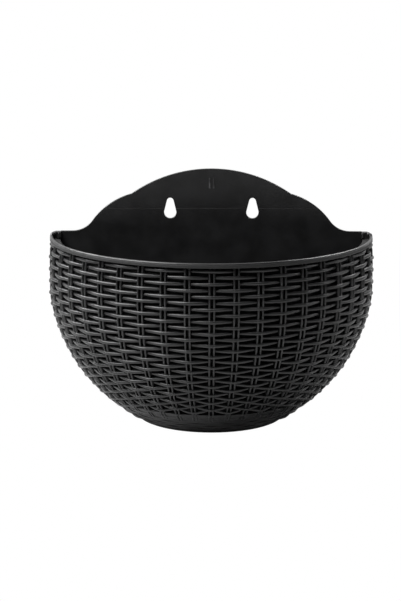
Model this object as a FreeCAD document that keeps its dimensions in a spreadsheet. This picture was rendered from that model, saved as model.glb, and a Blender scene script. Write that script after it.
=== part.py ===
import FreeCAD, Part
import math
import os
import re

import Sketcher

# Half-round wall planter in moulded imitation rattan.  X runs left to right, Y runs back
# into the wall, Z runs up.  Sketches are drawn with the underside of the foot at height 0
# and the wall face at depth 0.  Each body is then lowered by hang_height, so the origin of
# the part is the midpoint between its two wall screws, on the wall face.

SIZES = {
    # woven bowl, outside
    "belly_radius": 105.5,      # widest point, over the weave
    "belly_curve": 108.5,       # radius of the outer curve of the bowl
    "curve_under": 10.9,        # how far the whole circle would reach below the foot
    "foot_inset": 58.0,         # foot's edge, in from the belly radius
    "foot_curve": 150.0,        # radius of the smooth band above the foot
    "foot_top": 17.4,           # where the smooth band ends and the weave starts
    # weave
    "weave_relief": 3.0,        # how far the bars stand out from the shell
    "band_inset": 0.3,          # foot band's upper edge, in from the weave
    "bar_radius": 1.6,
    "row_pitch": 4.0,           # along the outer curve
    "row_count": 28,
    "row_gap": 2.0,             # band's lower edge to the crest of the top row
    # rim
    "wall_total": 4.6,          # weave crest to inside face
    "rim_height": 122.3,
    "bead_radius": 1.5,         # rounded edge on top of the rim
    "band_drop": 1.7,           # top of the bead to top of the band below it
    "band_tall": 1.5,
    "band_back": 0.2,           # band's face, in from the belly radius
    "bead_back": 0.3,           # bead's side, in from the band's face
    "corner_round": 3.8,        # outer corner of the two end posts
    # floor and foot
    "foot_recess": 3.0,
    "foot_rim": 5.0,            # width of the ring that it stands on
    "recess_back": 3.5,
    "floor_thick": 2.5,
    "drain_radius": 5.0,
    "drain_apart": 6.5,         # drain hole's edge to the soil grid's front leg
    # channel that takes the back plate
    "sill_height": 40.0,        # top of the bowl's own low back wall
    "rib_root": 0.8,            # how deep lips and ribs are rooted in the wall
    "lip_thick": 0.8,
    "lip_width": 1.2,
    "rib_thick": 1.6,
    "rib_width": 2.6,
    "slide_gap": 0.25,
    # back plate
    "plate_thick": 2.4,
    "plate_over": 20.8,         # top of the arch above the screws
    "shoulder_rise": 1.7,       # flat ends of the plate above the rim
    "flat_inset": 14.9,         # where the flat ends, in from the belly radius
    "arch_radius": 90.0,
    "notch_inset": 53.7,        # where arch and lobe meet, in from the belly radius
    "lobe_radius": 46.6,
    "lobe_lean": 15.2,          # degrees from upright, notch to centre of the lobe
    "screw_spacing": 53.5,
    "hang_height": 144.2,       # screw shanks, at the narrow end of the keyholes
    "keyhole_drop": 7.8,
    "head_radius": 4.2,
    "shank_radius": 2.4,
    # soil grid
    "grid_height": 30.0,
    "grid_thick": 2.0,
    "grid_gap": 0.8,
    "grid_back": 5.4,           # straight edge's distance in front of the wall face
    "grid_hole": 2.0,
    "grid_pitch": 9.5,
    "grid_margin": 3.0,         # least material round a hole
    "well_apart": 2.7,          # foot of a well to the bowl's wall
    "well_turn": 36.5,          # degrees, from the wall face round to a well
    "well_top": 11.0,
    "well_bottom": 9.0,
    "well_wall": 1.6,
    "slit_width": 2.4,
    "slit_tall": 12.0,
    "leg_radius": 4.0,
    "leg_apart": 1.8,           # foot of the leg to the bowl's wall
    "seat_gap": 0.1,
    # drain plug
    "plug_gap": 0.05,
    "plug_flange": 8.0,
    "flange_thick": 1.2,
    "plug_rise": 2.0,           # stem above the floor
    "plug_taper": 0.5,
    "grip_length": 11.0,
    "grip_width": 2.2,
    "grip_tall": 1.4,
}


class Values:
    """The driving dimensions as attributes, for placing sketch geometry near its solution."""

    def __init__(self, table):
        self.__dict__.update(table)


size = Values(SIZES)
doc = FreeCAD.newDocument("wall_planter")
sheet = doc.addObject("Spreadsheet::Sheet", "sheet")
for row, (alias, value) in enumerate(SIZES.items(), start=1):
    sheet.set("A%d" % row, alias)
    sheet.set("B%d" % row, str(value))
    sheet.setAlias("B%d" % row, alias)
doc.recompute()
SHEET_NAMES = {alias: "sheet." + alias for alias in SIZES}


# ---- helpers ---------------------------------------------------------------------------

def point(x, y):
    return FreeCAD.Vector(x, y, 0)


def named(text):
    """Turn a formula in size names into an expression that reads the sheet."""
    return re.sub(r"[a-z_]+", lambda word: SHEET_NAMES.get(word.group(), word.group()), text)


def new_body(label):
    body = doc.addObject("PartDesign::Body", label)
    body.Label = label
    return body


def new_sketch(body, name, plane, offset="0"):
    """A sketch on one of the body's origin planes, moved along its normal by a formula."""
    sketch = body.newObject("Sketcher::SketchObject", name)
    role = {"XY": "XY_Plane", "XZ": "XZ_Plane", "YZ": "YZ_Plane"}[plane]
    support = [f for f in body.Origin.OriginFeatures if f.Role == role][0]
    sketch.AttachmentSupport = [(support, "")]
    sketch.MapMode = "FlatFace"
    sketch.setExpression("AttachmentOffset.Base.z", named(offset))
    return sketch


def bind(sketch, constraint, formula):
    """Add a dimension to a sketch and tie it to a formula in size names."""
    index = sketch.addConstraint(constraint)
    sketch.setExpression("Constraints[%d]" % index, named(formula))


def add_line(sketch, start, end):
    return sketch.addGeometry(Part.LineSegment(point(*start), point(*end)))


def add_arc(sketch, centre, radius, start, end):
    """Arc drawn counter-clockwise from start to end, given as points on it."""
    first = math.atan2(start[1] - centre[1], start[0] - centre[0])
    last = math.atan2(end[1] - centre[1], end[0] - centre[0])
    if last <= first:
        last += 2 * math.pi
    circle = Part.Circle(point(*centre), FreeCAD.Vector(0, 0, 1), radius)
    return sketch.addGeometry(Part.ArcOfCircle(circle, first, last))


def join(sketch, *pairs):
    for (edge, end), (other, other_end) in pairs:
        sketch.addConstraint(Sketcher.Constraint("Coincident", edge, end, other, other_end))


def place(sketch, edge, end, x_formula, y_formula, x=0.0, y=0.0):
    """Pin one point of an edge.  Either formula may be None."""
    if x_formula is not None:
        bind(sketch, Sketcher.Constraint("DistanceX", -1, 1, edge, end, x), x_formula)
    if y_formula is not None:
        bind(sketch, Sketcher.Constraint("DistanceY", -1, 1, edge, end, y), y_formula)


def finish_feature(feature, grows):
    """Recompute and make sure that the feature added or removed material."""
    doc.recompute()
    base = feature.BaseFeature.Shape.Volume if feature.BaseFeature else 0.0
    change = feature.Shape.Volume - base
    if (change > 0) != grows or abs(change) < 1e-3:
        raise RuntimeError("%s changed the volume by %.3f" % (feature.Name, change))
    return feature


def pad(body, sketch, formula):
    feature = body.newObject("PartDesign::Pad", sketch.Name + "_pad")
    feature.Profile = sketch
    feature.setExpression("Length", named(formula))
    return finish_feature(feature, True)


def pocket(body, sketch, formula, both_ways=False):
    """Cut along the sketch's normal, or both ways from the sketch."""
    feature = body.newObject("PartDesign::Pocket", sketch.Name + "_pocket")
    feature.Profile = sketch
    feature.Reversed = not both_ways
    feature.Midplane = both_ways
    feature.setExpression("Length", named(formula))
    return finish_feature(feature, False)


def revolve(body, sketch, axis, angle=360.0, reverse=False):
    feature = body.newObject("PartDesign::Revolution", sketch.Name + "_turn")
    feature.Profile = sketch
    feature.ReferenceAxis = (sketch, [axis])
    feature.Angle = angle
    feature.Reversed = reverse
    return finish_feature(feature, True)


def mirror(body, features, grows):
    """Repeat features on the other side of the middle plane."""
    twin = body.newObject("PartDesign::Mirrored", features[-1].Name + "_mirrored")
    twin.Originals = features
    plane = [f for f in body.Origin.OriginFeatures if f.Role == "YZ_Plane"][0]
    twin.MirrorPlane = (plane, [""])
    body.Tip = twin
    return finish_feature(twin, grows)


def hang(body):
    """Lower a finished body so that the screw line is the origin."""
    body.setExpression("Placement.Base.z", named("0 - hang_height"))


# ---- places that several pieces share, each as a value and as a formula --------------------

CURVE_SIDE = size.belly_radius - size.belly_curve
BELLY_HEIGHT = "(belly_curve - curve_under)"
belly_height = size.belly_curve - size.curve_under
CURVE_CENTRE = (CURVE_SIDE, belly_height)
FOOT = "(belly_radius - foot_inset)"
foot_radius = size.belly_radius - size.foot_inset
INNER = "(belly_curve - wall_total)"
REACH = "belly_radius - belly_curve + sqrt(%s ^ 2 - (belly_curve - curve_under - %s) ^ 2)"
inner_curve = size.belly_curve - size.wall_total


def curve_reach(radius, height):
    """Distance from the bowl's axis to a curve of this radius at this height."""
    return CURVE_SIDE + math.sqrt(radius ** 2 - (belly_height - height) ** 2)


def pin_curve(sketch, edge, radius, formula):
    """Put an arc on the centre of the bowl's curve, with its own radius."""
    place(sketch, edge, 3, "belly_radius - belly_curve", BELLY_HEIGHT, CURVE_SIDE, belly_height)
    bind(sketch, Sketcher.Constraint("Radius", edge, radius), formula)


band_top = (size.rim_height - size.band_drop, "(rim_height - band_drop)")
lip_bottom = (band_top[0] - size.band_tall, "(rim_height - band_drop - band_tall)")
lip_radius = (size.belly_radius - size.band_back, "(belly_radius - band_back)")
bead_side = (lip_radius[0] - size.bead_back, "(belly_radius - band_back - bead_back)")
shoulder = (size.rim_height + size.shoulder_rise, "(rim_height + shoulder_rise)")
floor_top = (size.foot_recess + size.floor_thick, "(foot_recess + floor_thick)")

floor_reach = (curve_reach(inner_curve, floor_top[0]), "(" + REACH % (INNER, floor_top[1]) + ")")
leg_front = (floor_reach[0] - size.leg_apart - size.leg_radius,
             "(%s - leg_apart - leg_radius)" % floor_reach[1])
drain_front = (leg_front[0] - size.leg_radius - size.drain_apart - size.drain_radius,
               "(%s - leg_radius - drain_apart - drain_radius)" % leg_front[1])
well_reach = floor_reach[0] - size.well_apart - size.well_bottom
WELL_REACH = "(%s - well_apart - well_bottom)" % floor_reach[1]
well_side = (well_reach * math.cos(math.radians(size.well_turn)), WELL_REACH + " * cos(well_turn * 1 deg)")
well_front = (well_reach * math.sin(math.radians(size.well_turn)), WELL_REACH + " * sin(well_turn * 1 deg)")


# ---- woven bowl ------------------------------------------------------------------------

def draw_wall(sketch):
    """Half section of the bowl: foot, smooth band, shell, rim and inside face."""
    shell = size.belly_curve - size.weave_relief
    bead_level = size.rim_height - size.bead_radius
    bead_inner = bead_side[0] - 2 * size.bead_radius
    crest = size.belly_curve - size.band_inset
    foot = (foot_radius, 0)
    band_end = (curve_reach(crest, size.foot_top), size.foot_top)
    weave_start = (curve_reach(shell, size.foot_top), size.foot_top)
    under_lip = (curve_reach(shell, lip_bottom[0]), lip_bottom[0])
    neck = (curve_reach(inner_curve, lip_bottom[0]), lip_bottom[0])
    floor_edge = (floor_reach[0], floor_top[0])

    chord = math.dist(foot, band_end)
    middle = ((foot[0] + band_end[0]) / 2, (foot[1] + band_end[1]) / 2)
    back = math.sqrt(size.foot_curve ** 2 - (chord / 2) ** 2)
    across = ((band_end[1] - foot[1]) / chord, (foot[0] - band_end[0]) / chord)
    band_centre = (middle[0] - back * across[0], middle[1] - back * across[1])

    bottom = add_line(sketch, (0, 0), foot)
    band = add_arc(sketch, band_centre, size.foot_curve, foot, band_end)
    shelf = add_line(sketch, band_end, weave_start)
    outer = add_arc(sketch, CURVE_CENTRE, shell, weave_start, under_lip)
    ledge = add_line(sketch, under_lip, (lip_radius[0], lip_bottom[0]))
    face = add_line(sketch, (lip_radius[0], lip_bottom[0]), (lip_radius[0], band_top[0]))
    step = add_line(sketch, (lip_radius[0], band_top[0]), (bead_side[0], band_top[0]))
    riser = add_line(sketch, (bead_side[0], band_top[0]), (bead_side[0], bead_level))
    bead = add_arc(sketch, (bead_side[0] - size.bead_radius, bead_level), size.bead_radius,
                   (bead_side[0], bead_level), (bead_inner, bead_level))
    flare = add_line(sketch, (bead_inner, bead_level), neck)
    inner = add_arc(sketch, CURVE_CENTRE, inner_curve, floor_edge, neck)
    floor = add_line(sketch, floor_edge, (0, floor_top[0]))
    axis = add_line(sketch, (0, floor_top[0]), (0, 0))

    join(sketch, ((bottom, 1), (-1, 1)), ((bottom, 2), (band, 1)), ((band, 2), (shelf, 1)),
         ((shelf, 2), (outer, 1)), ((outer, 2), (ledge, 1)), ((ledge, 2), (face, 1)),
         ((face, 2), (step, 1)), ((step, 2), (riser, 1)), ((bead, 2), (flare, 1)),
         ((flare, 2), (inner, 2)), ((inner, 1), (floor, 1)), ((floor, 2), (axis, 1)),
         ((axis, 2), (bottom, 1)))
    for edge in (bottom, shelf, ledge, step, floor):
        sketch.addConstraint(Sketcher.Constraint("Horizontal", edge))
    for edge in (face, riser, axis):
        sketch.addConstraint(Sketcher.Constraint("Vertical", edge))
    sketch.addConstraint(Sketcher.Constraint("Tangent", riser, 2, bead, 1))

    pin_curve(sketch, outer, shell, "belly_curve - weave_relief")
    pin_curve(sketch, inner, inner_curve, INNER)
    bind(sketch, Sketcher.Constraint("Radius", band, size.foot_curve), "foot_curve")
    bind(sketch, Sketcher.Constraint("Radius", bead, size.bead_radius), "bead_radius")
    place(sketch, bottom, 2, FOOT, None, foot_radius)
    place(sketch, band, 2, REACH % ("(belly_curve - band_inset)", "foot_top"), None, band_end[0])
    place(sketch, outer, 1, None, "foot_top", y=size.foot_top)
    place(sketch, outer, 2, None, lip_bottom[1], y=lip_bottom[0])
    place(sketch, face, 2, lip_radius[1], band_top[1], lip_radius[0], band_top[0])
    place(sketch, bead, 1, bead_side[1], "rim_height - bead_radius", bead_side[0], bead_level)
    place(sketch, bead, 2, None, "rim_height - bead_radius", y=bead_level)
    place(sketch, inner, 1, None, floor_top[1], y=floor_top[0])
    place(sketch, inner, 2, None, lip_bottom[1], y=lip_bottom[0])


def draw_rows(sketch):
    """One circle for each row of the weave, evenly spaced along the bowl's curve."""
    bar_curve = size.belly_curve - size.bar_radius
    first_row = lip_bottom[0] - size.row_gap
    start = math.degrees(math.asin((first_row - belly_height) / size.belly_curve))
    step = math.degrees(size.row_pitch / size.belly_curve)
    first = None
    for number in range(int(size.row_count)):
        turn = math.radians(start - number * step)
        centre = (CURVE_SIDE + bar_curve * math.cos(turn), belly_height + bar_curve * math.sin(turn))
        ring = sketch.addGeometry(Part.Circle(point(*centre), FreeCAD.Vector(0, 0, 1), size.bar_radius))
        reach = "(belly_curve - bar_radius)"
        angle = ("(asin((%s - row_gap - %s) / belly_curve)"
                 " - 180 deg / pi * %d * row_pitch / belly_curve)" % (lip_bottom[1], BELLY_HEIGHT, number))
        place(sketch, ring, 3, "belly_radius - belly_curve + %s * cos%s" % (reach, angle),
              "%s + %s * sin%s" % (BELLY_HEIGHT, reach, angle), *centre)
        if first is None:
            first = ring
            bind(sketch, Sketcher.Constraint("Radius", ring, size.bar_radius), "bar_radius")
        else:
            sketch.addConstraint(Sketcher.Constraint("Equal", first, ring))


def draw_sill(sketch):
    """Right half of the bowl's own low back wall."""
    radius = inner_curve + size.rib_root
    low = (curve_reach(radius, 0), 0)
    high = (curve_reach(radius, size.sill_height), size.sill_height)
    bottom = add_line(sketch, (0, 0), low)
    side = add_arc(sketch, CURVE_CENTRE, radius, low, high)
    top = add_line(sketch, high, (0, size.sill_height))
    middle = add_line(sketch, (0, size.sill_height), (0, 0))
    join(sketch, ((bottom, 1), (-1, 1)), ((bottom, 2), (side, 1)), ((side, 2), (top, 1)),
         ((top, 2), (middle, 1)), ((middle, 2), (bottom, 1)))
    sketch.addConstraint(Sketcher.Constraint("Horizontal", bottom))
    sketch.addConstraint(Sketcher.Constraint("Horizontal", top))
    sketch.addConstraint(Sketcher.Constraint("Vertical", middle))
    pin_curve(sketch, side, radius, INNER + " + rib_root")
    place(sketch, top, 1, None, "sill_height", y=size.sill_height)


def draw_channel(sketch, outer, inner, low, high, top):
    """Right half of a U-shaped band that follows the inside of the bowl.

    outer and inner are the band's offsets from the inside face, low and high the heights of
    its bottom edges, and top its upper end.  Each is a pair: a value and its formula."""
    outer_radius = inner_curve + outer[0]
    inner_radius = inner_curve + inner[0]
    outer_low = (curve_reach(outer_radius, low[0]), low[0])
    outer_neck = (curve_reach(outer_radius, lip_bottom[0]), lip_bottom[0])
    inner_neck = (curve_reach(inner_radius, lip_bottom[0]), lip_bottom[0])
    inner_low = (curve_reach(inner_radius, high[0]), high[0])
    bottom = add_line(sketch, (0, low[0]), outer_low)
    outside = add_arc(sketch, CURVE_CENTRE, outer_radius, outer_low, outer_neck)
    rise = add_line(sketch, outer_neck, (outer_neck[0], top[0]))
    end = add_line(sketch, (outer_neck[0], top[0]), (inner_neck[0], top[0]))
    fall = add_line(sketch, (inner_neck[0], top[0]), inner_neck)
    inside = add_arc(sketch, CURVE_CENTRE, inner_radius, inner_low, inner_neck)
    ledge = add_line(sketch, inner_low, (0, high[0]))
    middle = add_line(sketch, (0, high[0]), (0, low[0]))
    join(sketch, ((bottom, 2), (outside, 1)), ((outside, 2), (rise, 1)), ((rise, 2), (end, 1)),
         ((end, 2), (fall, 1)), ((fall, 2), (inside, 2)), ((inside, 1), (ledge, 1)),
         ((ledge, 2), (middle, 1)), ((middle, 2), (bottom, 1)))
    for edge in (bottom, end, ledge):
        sketch.addConstraint(Sketcher.Constraint("Horizontal", edge))
    for edge in (rise, fall, middle):
        sketch.addConstraint(Sketcher.Constraint("Vertical", edge))
    sketch.addConstraint(Sketcher.Constraint("PointOnObject", middle, 1, -2))
    pin_curve(sketch, outside, outer_radius, "%s + %s" % (INNER, outer[1]))
    pin_curve(sketch, inside, inner_radius, "%s + %s" % (INNER, inner[1]))
    place(sketch, outside, 2, None, lip_bottom[1], y=lip_bottom[0])
    place(sketch, inside, 2, None, lip_bottom[1], y=lip_bottom[0])
    place(sketch, bottom, 1, None, low[1], y=low[0])
    place(sketch, ledge, 2, None, high[1], y=high[0])
    place(sketch, end, 1, None, top[1], y=top[0])


def draw_box(sketch, left, right, low, high):
    """A rectangle; each side is a pair: a value and its formula."""
    bottom = add_line(sketch, (left[0], low[0]), (right[0], low[0]))
    side = add_line(sketch, (right[0], low[0]), (right[0], high[0]))
    top = add_line(sketch, (right[0], high[0]), (left[0], high[0]))
    back = add_line(sketch, (left[0], high[0]), (left[0], low[0]))
    join(sketch, ((bottom, 2), (side, 1)), ((side, 2), (top, 1)), ((top, 2), (back, 1)),
         ((back, 2), (bottom, 1)))
    for edge in (bottom, top):
        sketch.addConstraint(Sketcher.Constraint("Horizontal", edge))
    for edge in (side, back):
        sketch.addConstraint(Sketcher.Constraint("Vertical", edge))
    place(sketch, bottom, 1, left[1], low[1], left[0], low[0])
    place(sketch, side, 2, right[1], high[1], right[0], high[0])


def draw_post(sketch):
    """End post: carries the rim up to the top of the plate's flat, with a round corner."""
    low = lip_bottom[0]
    left = curve_reach(inner_curve, low)
    right = lip_radius[0]
    turn = right - size.corner_round
    top = shoulder[0]
    bottom = add_line(sketch, (left, low), (right, low))
    side = add_line(sketch, (right, low), (right, top - size.corner_round))
    corner = add_arc(sketch, (turn, top - size.corner_round), size.corner_round,
                     (right, top - size.corner_round), (turn, top))
    crown = add_line(sketch, (turn, top), (left, top))
    back = add_line(sketch, (left, top), (left, low))
    join(sketch, ((bottom, 2), (side, 1)), ((crown, 2), (back, 1)), ((back, 2), (bottom, 1)))
    sketch.addConstraint(Sketcher.Constraint("Horizontal", bottom))
    sketch.addConstraint(Sketcher.Constraint("Horizontal", crown))
    sketch.addConstraint(Sketcher.Constraint("Vertical", side))
    sketch.addConstraint(Sketcher.Constraint("Vertical", back))
    sketch.addConstraint(Sketcher.Constraint("Tangent", side, 2, corner, 1))
    sketch.addConstraint(Sketcher.Constraint("Tangent", corner, 2, crown, 1))
    bind(sketch, Sketcher.Constraint("Radius", corner, size.corner_round), "corner_round")
    place(sketch, bottom, 1, REACH % (INNER, lip_bottom[1]), lip_bottom[1], left, low)
    place(sketch, bottom, 2, lip_radius[1], None, right)
    place(sketch, crown, 2, None, shoulder[1], y=top)


def draw_half_disc(sketch, radius, back):
    """Half disc in front of the wall; radius and back are pairs: a value and its formula."""
    reach = math.sqrt(radius[0] ** 2 - back[0] ** 2)
    edge = add_line(sketch, (reach, -back[0]), (-reach, -back[0]))
    front = add_arc(sketch, (0, 0), radius[0], (-reach, -back[0]), (reach, -back[0]))
    join(sketch, ((edge, 1), (front, 2)), ((edge, 2), (front, 1)), ((front, 3), (-1, 1)))
    sketch.addConstraint(Sketcher.Constraint("Horizontal", edge))
    bind(sketch, Sketcher.Constraint("Radius", front, radius[0]), radius[1])
    place(sketch, edge, 1, None, "0 - (%s)" % back[1], y=-back[0])


def draw_circle(sketch, x, y, radius):
    """A circle; each value is a pair: a value and its formula."""
    ring = sketch.addGeometry(Part.Circle(point(x[0], y[0]), FreeCAD.Vector(0, 0, 1), radius[0]))
    place(sketch, ring, 3, x[1], y[1], x[0], y[0])
    bind(sketch, Sketcher.Constraint("Radius", ring, radius[0]), radius[1])
    return ring


def build_woven_bowl():
    body = new_body("woven_bowl")
    wall = new_sketch(body, "bowl_wall", "XZ")
    draw_wall(wall)
    revolve(body, wall, "V_Axis", 180.0, reverse=True)

    rows = new_sketch(body, "weave_rows", "XZ")
    draw_rows(rows)
    revolve(body, rows, "V_Axis", 180.0, reverse=True)

    sill = new_sketch(body, "low_back_wall", "XZ")
    draw_sill(sill)
    root = (size.rib_root, "rib_root")
    low = (size.sill_height - size.rib_root, "sill_height - rib_root")
    features = [pad(body, sill, "plate_thick")]

    lip = new_sketch(body, "channel_lip", "XZ")
    draw_channel(lip, root, (-size.lip_width, "0 - lip_width"), low,
                 (size.sill_height + size.lip_width, "sill_height + lip_width"), shoulder)
    features.append(pad(body, lip, "lip_thick"))

    rib = new_sketch(body, "channel_rib", "XZ", "plate_thick + slide_gap")
    draw_channel(rib, root, (-size.rib_width, "0 - rib_width"), low,
                 (size.sill_height + size.rib_width, "sill_height + rib_width"), shoulder)
    features.append(pad(body, rib, "rib_thick"))

    post = new_sketch(body, "end_post", "XZ")
    draw_post(post)
    features.append(pad(body, post, "plate_thick + slide_gap + rib_thick"))

    mirror(body, features, True)

    recess = new_sketch(body, "foot_recess_outline", "XY")
    draw_half_disc(recess, (foot_radius - size.foot_rim, FOOT + " - foot_rim"),
                   (size.recess_back, "recess_back"))
    pocket(body, recess, "foot_recess")

    drain = new_sketch(body, "drain_hole", "XY")
    draw_circle(drain, (0, "0"), (-drain_front[0], "0 - " + drain_front[1]),
                (size.drain_radius, "drain_radius"))
    pocket(body, drain, "foot_recess + 2 * floor_thick")
    hang(body)
    return body


# ---- back plate ------------------------------------------------------------------------

def draw_plate(sketch):
    """Right half of the back plate: bowl-shaped below, flat, hollow, lobe and arch above."""
    radius = inner_curve - size.slide_gap
    low = size.sill_height + size.slide_gap
    level = shoulder[0]
    neck = (curve_reach(radius, lip_bottom[0]), lip_bottom[0])
    low_side = (curve_reach(radius, low), low)
    plate_top = size.hang_height + size.plate_over
    arch = (0, plate_top - size.arch_radius)
    notch_side = size.belly_radius - size.notch_inset
    notch = (notch_side, arch[1] + math.sqrt(size.arch_radius ** 2 - notch_side ** 2))
    lean = math.radians(size.lobe_lean)
    lobe = (notch[0] - size.lobe_radius * math.sin(lean), notch[1] - size.lobe_radius * math.cos(lean))
    flat_end = (size.belly_radius - size.flat_inset, level)
    aside, drop = flat_end[0] - lobe[0], level - lobe[1]
    sweep_radius = (aside ** 2 + drop ** 2 - size.lobe_radius ** 2) / (2 * (size.lobe_radius - drop))
    sweep = (flat_end[0], level + sweep_radius)
    share = size.lobe_radius / (size.lobe_radius + sweep_radius)
    handover = (lobe[0] + (sweep[0] - lobe[0]) * share, lobe[1] + (sweep[1] - lobe[1]) * share)

    bottom = add_line(sketch, (0, low), low_side)
    curve = add_arc(sketch, CURVE_CENTRE, radius, low_side, neck)
    edge = add_line(sketch, neck, (neck[0], level))
    flat = add_line(sketch, (neck[0], level), flat_end)
    hollow = add_arc(sketch, sweep, sweep_radius, handover, flat_end)
    hump = add_arc(sketch, lobe, size.lobe_radius, handover, notch)
    crown = add_arc(sketch, arch, size.arch_radius, notch, (0, plate_top))
    middle = add_line(sketch, (0, plate_top), (0, low))
    join(sketch, ((bottom, 2), (curve, 1)), ((curve, 2), (edge, 1)), ((edge, 2), (flat, 1)),
         ((hump, 2), (crown, 1)), ((crown, 2), (middle, 1)), ((middle, 2), (bottom, 1)))
    for line in (bottom, flat):
        sketch.addConstraint(Sketcher.Constraint("Horizontal", line))
    for line in (edge, middle):
        sketch.addConstraint(Sketcher.Constraint("Vertical", line))
    sketch.addConstraint(Sketcher.Constraint("Tangent", flat, 2, hollow, 2))
    sketch.addConstraint(Sketcher.Constraint("Tangent", hollow, 1, hump, 1))
    sketch.addConstraint(Sketcher.Constraint("PointOnObject", middle, 1, -2))
    pin_curve(sketch, curve, radius, INNER + " - slide_gap")
    bind(sketch, Sketcher.Constraint("Radius", hump, size.lobe_radius), "lobe_radius")
    bind(sketch, Sketcher.Constraint("Radius", crown, size.arch_radius), "arch_radius")
    place(sketch, crown, 3, "0", "hang_height + plate_over - arch_radius", *arch)
    place(sketch, crown, 1, "belly_radius - notch_inset", None, notch[0])
    place(sketch, hump, 3, "belly_radius - notch_inset - lobe_radius * sin(lobe_lean * 1 deg)", None, lobe[0])
    place(sketch, flat, 2, "belly_radius - flat_inset", None, flat_end[0])
    place(sketch, bottom, 1, None, "sill_height + slide_gap", y=low)
    place(sketch, curve, 2, None, lip_bottom[1], y=lip_bottom[0])
    place(sketch, flat, 1, None, shoulder[1], y=level)


def draw_keyhole(sketch):
    """Teardrop: a round hole for the screw head that narrows upward to the shank."""
    x = size.screw_spacing / 2
    high = (x, size.hang_height)
    low = (x, size.hang_height - size.keyhole_drop)
    lean = math.asin((size.head_radius - size.shank_radius) / size.keyhole_drop)

    def rim(centre, radius, side):
        return (centre[0] + side * radius * math.cos(lean), centre[1] + radius * math.sin(lean))

    head = add_arc(sketch, low, size.head_radius, rim(low, size.head_radius, -1),
                   rim(low, size.head_radius, 1))
    right = add_line(sketch, rim(low, size.head_radius, 1), rim(high, size.shank_radius, 1))
    shank = add_arc(sketch, high, size.shank_radius, rim(high, size.shank_radius, 1),
                    rim(high, size.shank_radius, -1))
    left = add_line(sketch, rim(high, size.shank_radius, -1), rim(low, size.head_radius, -1))
    for first, first_end, second, second_end in ((head, 2, right, 1), (right, 2, shank, 1),
                                                 (shank, 2, left, 1), (left, 2, head, 1)):
        sketch.addConstraint(Sketcher.Constraint("Tangent", first, first_end, second, second_end))
    bind(sketch, Sketcher.Constraint("Radius", head, size.head_radius), "head_radius")
    bind(sketch, Sketcher.Constraint("Radius", shank, size.shank_radius), "shank_radius")
    place(sketch, head, 3, "screw_spacing / 2", "hang_height - keyhole_drop", *low)
    place(sketch, shank, 3, "screw_spacing / 2", "hang_height", *high)


def build_back_plate():
    body = new_body("back_plate")
    outline = new_sketch(body, "plate_outline", "XZ")
    draw_plate(outline)
    mirror(body, [pad(body, outline, "plate_thick")], True)

    gap = size.slide_gap
    rebate = new_sketch(body, "tongue_rebate", "XZ")
    draw_channel(rebate, (size.rib_root, "rib_root"), (-size.lip_width - gap, "0 - lip_width - slide_gap"),
                 (size.sill_height - size.rib_root, "sill_height - rib_root"),
                 (size.sill_height + size.lip_width + gap, "sill_height + lip_width + slide_gap"),
                 (size.hang_height + size.plate_over, "hang_height + plate_over"))
    cuts = [pocket(body, rebate, "lip_thick + slide_gap")]

    keyhole = new_sketch(body, "keyhole", "XZ")
    draw_keyhole(keyhole)
    cuts.append(pocket(body, keyhole, "2 * plate_thick"))
    mirror(body, cuts, False)
    hang(body)
    return body


# ---- soil grid -------------------------------------------------------------------------

def draw_well(sketch):
    """Half section of a wicking well: a tapered cup that hangs from the grid to the floor."""
    x, side = well_side
    top = size.grid_height + size.grid_thick
    bottom = floor_top[0] + size.seat_gap
    low = floor_top[1] + " + seat_gap"
    wall = size.well_wall
    corners = [(x, bottom, side, low),
               (x + size.well_bottom, bottom, side + " + well_bottom", None),
               (x + size.well_top, top, side + " + well_top", "grid_height + grid_thick"),
               (x + size.well_top - wall, top, side + " + well_top - well_wall", None),
               (x + size.well_bottom - wall, bottom + wall, side + " + well_bottom - well_wall",
                low + " + well_wall"),
               (x, bottom + wall, None, None)]
    level = (0, 2, 4)
    edges = []
    for number, start in enumerate(corners):
        end = corners[(number + 1) % len(corners)]
        edges.append(add_line(sketch, start[:2], end[:2]))
        if start[2] or start[3]:
            place(sketch, edges[-1], 1, start[2], start[3], start[0], start[1])
    for number, edge in enumerate(edges):
        join(sketch, ((edge, 2), (edges[(number + 1) % len(edges)], 1)))
        if number in level:
            sketch.addConstraint(Sketcher.Constraint("Horizontal", edge))
    sketch.addConstraint(Sketcher.Constraint("Vertical", edges[-1]))
    axis = sketch.addGeometry(Part.LineSegment(point(x, bottom), point(x, top)), True)
    sketch.addConstraint(Sketcher.Constraint("Coincident", axis, 1, edges[0], 1))
    sketch.addConstraint(Sketcher.Constraint("Vertical", axis))
    place(sketch, axis, 2, None, "grid_height + grid_thick", y=top)


GRID_SKEW = 0.6  # half a column's step as a share of the pitch between rows


def grid_hole_places(radius):
    """Column and row numbers of the holes that clear the grid's edge, wells and leg."""
    keep = size.grid_hole + size.grid_margin
    wells = [(side * well_side[0], -well_front[0], size.well_top) for side in (1, -1)]
    obstacles = wells + [(0, -leg_front[0], size.leg_radius)]
    rows = int(radius / size.grid_pitch) + 1
    for row in range(rows):
        y = -(size.grid_back + keep + row * size.grid_pitch)
        for column in range(-rows * 2, rows * 2 + 1):
            if (column + row) % 2:
                continue
            x = column * size.grid_pitch * GRID_SKEW
            clear = all(math.dist((x, y), spot[:2]) > spot[2] + keep for spot in obstacles)
            if clear and math.hypot(x, y) < radius - keep:
                yield column, row, x, y


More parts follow.
